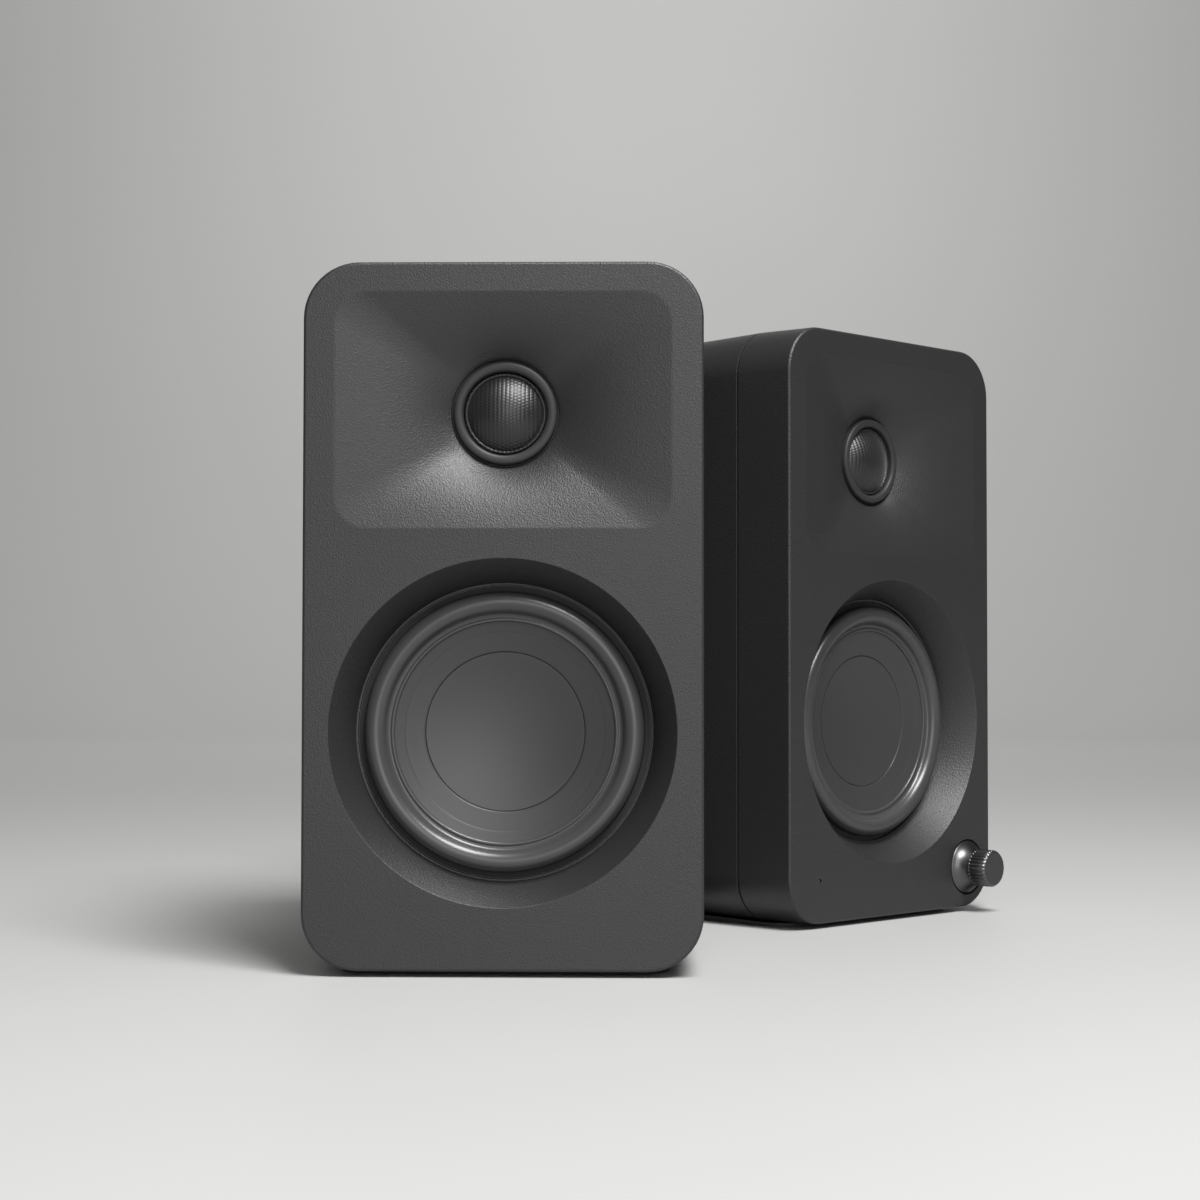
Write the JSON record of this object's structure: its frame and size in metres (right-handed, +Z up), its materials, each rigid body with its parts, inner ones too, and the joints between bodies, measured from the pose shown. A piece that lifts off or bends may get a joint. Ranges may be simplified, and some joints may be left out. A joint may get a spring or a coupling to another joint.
{
  "type": "desktop speakers",
  "caption": "Pair of small powered desktop speakers: moulded cabinets with a rectangular waveguide over a recessed woofer, and a fluted volume knob on one.",
  "frame": {"origin": "on the desk under the middle of the passive cabinet, at the mouth of its stand thread", "axes": "+Z up, -Y the way the passive cabinet faces, +X to the right seen from its front, towards the active cabinet"},
  "size_m": [0.1991, 0.2567, 0.1785],
  "materials": {
    "shell_plastic": "fine moulded texture, charcoal",
    "pad_rubber": "matte black",
    "stand_brass": "turned",
    "screw_steel": "black oxide",
    "port_plastic": "satin black",
    "frame_steel": "black lacquer over pressed steel",
    "surround_rubber": "smooth, semi-gloss",
    "cone_polymer": "satin charcoal",
    "coil_copper": "lacquered copper wire on a former",
    "spider_cloth": "impregnated weave",
    "magnet_ferrite": "sintered ferrite",
    "tweeter_plastic": "satin",
    "dome_silk": "coated silk weave",
    "lead_sleeve": "insulated wire",
    "socket_plastic": "moulded black",
    "socket_metal": "nickel plated",
    "board": "solder mask",
    "bare_aluminium": "extruded",
    "clear_polymer": "clear moulding",
    "knob_metal": "dark anodised, glossy"
  },
  "bodies": {
    "passive_cabinet": {"passive_front_shell": "shell_plastic", "passive_rear_shell": "shell_plastic", "passive_seam_gasket": "pad_rubber", "passive_base_pad": "pad_rubber", "passive_stand_insert": "stand_brass", "passive_screws": "screw_steel", "passive_port_tube": "port_plastic", "passive_connector_panel": "port_plastic", "passive_link_socket": "socket_plastic", "passive_woofer_frame": "frame_steel", "passive_woofer_surround": "surround_rubber", "passive_woofer_spider": "spider_cloth", "passive_woofer_top_plate": "frame_steel", "passive_woofer_magnet": "magnet_ferrite", "passive_woofer_yoke": "frame_steel", "passive_tweeter_frame": "tweeter_plastic", "passive_tweeter_cup": "frame_steel", "passive_tweeter_magnet": "magnet_ferrite", "passive_leads": "lead_sleeve"},
    "passive_cone": {"passive_woofer_cone": "cone_polymer", "passive_woofer_dust_cap": "cone_polymer", "passive_woofer_coil": "coil_copper"},
    "passive_dome": {"passive_tweeter_dome": "dome_silk", "passive_tweeter_coil": "coil_copper"},
    "active_cabinet": {"active_front_shell": "shell_plastic", "active_rear_shell": "shell_plastic", "active_seam_gasket": "pad_rubber", "active_base_pad": "pad_rubber", "active_stand_insert": "stand_brass", "active_screws": "screw_steel", "active_port_tube": "port_plastic", "active_connector_panel": "port_plastic", "active_link_socket": "socket_plastic", "active_woofer_frame": "frame_steel", "active_woofer_surround": "surround_rubber", "active_woofer_spider": "spider_cloth", "active_woofer_top_plate": "frame_steel", "active_woofer_magnet": "magnet_ferrite", "active_woofer_yoke": "frame_steel", "active_tweeter_frame": "tweeter_plastic", "active_tweeter_cup": "frame_steel", "active_tweeter_magnet": "magnet_ferrite", "active_leads": "lead_sleeve", "rca_jacks": "socket_metal", "usb_socket": "socket_metal", "power_inlet": "socket_plastic", "amp_board": "board", "heat_sink": "bare_aluminium", "control_board": "board", "light_pipe": "clear_polymer", "encoder_body": "screw_steel"},
    "active_cone": {"active_woofer_cone": "cone_polymer", "active_woofer_dust_cap": "cone_polymer", "active_woofer_coil": "coil_copper"},
    "active_dome": {"active_tweeter_dome": "dome_silk", "active_tweeter_coil": "coil_copper"},
    "knob_plunger": {"encoder_plunger": "socket_plastic"},
    "knob": {"encoder_shaft": "screw_steel", "volume_knob": "knob_metal"},
    "swap_switch": {"swap_slider": "socket_plastic"}
  },
  "joints": [
    {"name": "cabinet_spacing", "type": "slide", "parent": "passive_cabinet", "child": "active_cabinet", "axis": [1, 0, 0], "range_m": [0, 0.4]},
    {"name": "passive_cone_travel", "type": "slide", "parent": "passive_cabinet", "child": "passive_cone", "axis": [0, -1, 0], "range_m": [-0.0025, 0.0025], "stiffness_N_per_m": 900, "deforming": ["passive_woofer_surround", "passive_woofer_spider"]},
    {"name": "passive_dome_travel", "type": "slide", "parent": "passive_cabinet", "child": "passive_dome", "axis": [0, -1, 0], "range_m": [-0.00025, 0.00025], "stiffness_N_per_m": 900},
    {"name": "active_cone_travel", "type": "slide", "parent": "active_cabinet", "child": "active_cone", "axis": [0.729, -0.6845, 0], "range_m": [-0.0025, 0.0025], "stiffness_N_per_m": 900, "deforming": ["active_woofer_surround", "active_woofer_spider"]},
    {"name": "active_dome_travel", "type": "slide", "parent": "active_cabinet", "child": "active_dome", "axis": [0.729, -0.6845, 0], "range_m": [-0.00025, 0.00025], "stiffness_N_per_m": 900},
    {"name": "knob_push", "type": "slide", "parent": "active_cabinet", "child": "knob_plunger", "axis": [-0.729, 0.6845, 0], "range_m": [0, 0.0006], "stiffness_N_per_m": 900},
    {"name": "knob_turn", "type": "hinge", "parent": "knob_plunger", "child": "knob", "pos_m": [0.14203, 0.09486, 0.014], "axis": [0.729, -0.6845, 0], "continuous": true},
    {"name": "swap_travel", "type": "slide", "parent": "active_cabinet", "child": "swap_switch", "axis": [0.6845, 0.729, 0], "range_m": [0, 0.003]}
  ]
}
